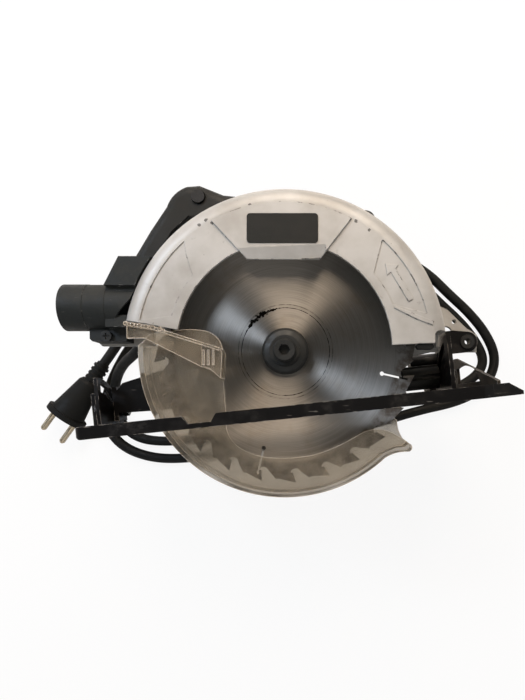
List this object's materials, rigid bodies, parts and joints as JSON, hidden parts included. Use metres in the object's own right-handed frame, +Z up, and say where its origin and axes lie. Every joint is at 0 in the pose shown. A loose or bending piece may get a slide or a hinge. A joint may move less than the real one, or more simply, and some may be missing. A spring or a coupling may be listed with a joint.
{
  "type": "circular saw",
  "caption": "Hand-held corded circular saw standing on its motor end, with a silver blade guard, clear lower guard, black tilting base, dust outlet and coiled cord.",
  "frame": {"origin": "middle of the motor end cap's flat face, which the saw stands on", "axes": "+Z up along the motor and spindle axes towards the blade, +X towards the saw's front, +Y towards its handle"},
  "size_m": [0.385, 0.2058, 0.155],
  "materials": {
    "moulded_plastic": "fine moulded grain, dusty",
    "button_plastic": "smooth moulded",
    "cast_alloy": "as cast",
    "silver_coated_alloy": "fine metallic coating, chipped at the edges",
    "lamination_steel": "stacked sheet",
    "copper": "enamelled wire and bare brass",
    "carbon": "pressed",
    "bright_steel": "turned and zinc plated",
    "spring_steel": "drawn wire",
    "blade_steel": "ground in rings, stained with resin near the rim",
    "carbide": "ground",
    "blackened_steel": "blackened, worn",
    "black_sheet_steel": "black enamel, dusty and scratched",
    "dusty_sheet_steel": "black enamel under brown dust",
    "dark_plate": "bare dark label",
    "clear_polycarbonate": "clear, scuffed",
    "soft_rubber": "matt",
    "plated_brass": "nickel plated"
  },
  "bodies": {
    "saw": {"motor_end_cap": "moulded_plastic", "motor_housing": "moulded_plastic", "brush_caps": "moulded_plastic", "handle_half_motor_side": "moulded_plastic", "handle_half_blade_side": "moulded_plastic", "front_handle": "moulded_plastic", "switch_body": "moulded_plastic", "dust_port": "moulded_plastic", "gear_case": "cast_alloy", "gear_cover": "cast_alloy", "upper_guard": "silver_coated_alloy", "stator_core": "lamination_steel", "field_windings": "copper", "brush_holders": "copper", "carbon_brushes": "carbon", "motor_bearings": "bright_steel", "end_cap_screws": "bright_steel", "spindle_bearings": "bright_steel", "guard_screws": "bright_steel", "guard_retaining_ring": "bright_steel", "front_pivot_rivet": "bright_steel", "depth_bolt": "bright_steel", "handle_screws": "bright_steel", "trigger_pin": "bright_steel", "dust_port_screw": "bright_steel", "spindle_lock_spring": "spring_steel", "guard_return_spring": "spring_steel", "trigger_spring": "spring_steel", "label_plate": "dark_plate", "rubber_bumper": "soft_rubber", "cord_gland": "soft_rubber", "cord": "soft_rubber", "plug_body": "soft_rubber", "plug_pins": "plated_brass"},
    "blade_drive": {"spindle": "bright_steel", "spindle_gear": "bright_steel", "inner_flange": "blackened_steel", "blade": "blade_steel", "carbide_tips": "carbide", "outer_flange": "blackened_steel", "blade_bolt": "blackened_steel"},
    "armature": {"armature_shaft": "bright_steel", "armature_core": "lamination_steel", "commutator": "copper", "cooling_fan": "moulded_plastic"},
    "lower_guard_body": {"lower_guard": "clear_polycarbonate"},
    "depth_frame": {"front_bracket": "black_sheet_steel", "depth_link": "black_sheet_steel", "bevel_nuts": "bright_steel"},
    "base": {"base_plate": "black_sheet_steel", "front_quadrant": "black_sheet_steel", "bevel_scale_plate": "dusty_sheet_steel", "rear_quadrant": "black_sheet_steel"},
    "front_knob": {"front_bevel_knob": "moulded_plastic"},
    "rear_knob": {"rear_bevel_knob": "black_sheet_steel"},
    "fence_clamp": {"fence_screw": "black_sheet_steel"},
    "depth_clamp": {"depth_lever": "moulded_plastic"},
    "trigger_body": {"trigger": "button_plastic"},
    "lock_off": {"lock_off_button": "button_plastic"},
    "spindle_lock": {"spindle_lock_pin": "bright_steel"}
  },
  "joints": [
    {"name": "blade_spin", "type": "hinge", "parent": "saw", "child": "blade_drive", "pos_m": [0, -0.034, 0.13], "axis": [0, 0, 1], "continuous": true},
    {"name": "armature_spin", "type": "hinge", "parent": "saw", "child": "armature", "pos_m": [0, 0, 0.05], "axis": [0, 0, 1], "continuous": true},
    {"name": "lower_guard_swing", "type": "hinge", "parent": "saw", "child": "lower_guard_body", "pos_m": [0, -0.034, 0.128], "axis": [0, 0, 1], "range_deg": [-140, 0], "stiffness_Nm_per_rad": 0.04, "springref_deg": 34.38, "deforming": ["guard_return_spring"]},
    {"name": "depth_adjust", "type": "hinge", "parent": "saw", "child": "depth_frame", "pos_m": [0.114, -0.0266, 0.118], "axis": [0, 0, 1], "range_deg": [-1.4, 16]},
    {"name": "bevel_tilt", "type": "hinge", "parent": "depth_frame", "child": "base", "pos_m": [0.11771, -0.06251, 0.13], "axis": [-0.9947, -0.1028, 0], "range_deg": [0, 45]},
    {"name": "front_knob_turn", "type": "hinge", "parent": "depth_frame", "child": "front_knob", "pos_m": [0.08612, -0.04868, 0.10056], "axis": [0.9947, 0.1028, 0], "continuous": true},
    {"name": "rear_knob_turn", "type": "hinge", "parent": "depth_frame", "child": "rear_knob", "pos_m": [-0.11775, -0.07014, 0.10442], "axis": [0.9947, 0.1028, 0], "continuous": true},
    {"name": "fence_screw_turn", "type": "hinge", "parent": "base", "child": "fence_clamp", "pos_m": [0.1071, -0.04742, 0.059], "axis": [-0.1028, 0.9947, 0], "continuous": true},
    {"name": "depth_clamp_turn", "type": "hinge", "parent": "saw", "child": "depth_clamp", "pos_m": [-0.056, -0.012, 0.1], "axis": [0, 0, 1], "range_deg": [0, 55]},
    {"name": "trigger_pull", "type": "hinge", "parent": "saw", "child": "trigger_body", "pos_m": [-0.04, 0.0635, 0.085], "axis": [0, 0, -1], "range_deg": [0, 9], "stiffness_Nm_per_rad": 0.3, "springref_deg": -11.46, "deforming": ["trigger_spring"]},
    {"name": "lock_off_press", "type": "slide", "parent": "saw", "child": "lock_off", "axis": [0, 0, -1], "range_m": [0, 0.003], "stiffness_N_per_m": 300, "springref_m": -0.002},
    {"name": "spindle_lock_press", "type": "slide", "parent": "saw", "child": "spindle_lock", "axis": [-1, 0, 0], "range_m": [0, 0.004], "stiffness_N_per_m": 300, "springref_m": -0.003, "deforming": ["spindle_lock_spring"]}
  ],
  "couplings": [
    {"joint": "armature_spin", "follows": "blade_spin", "ratio": -5.8}
  ]
}
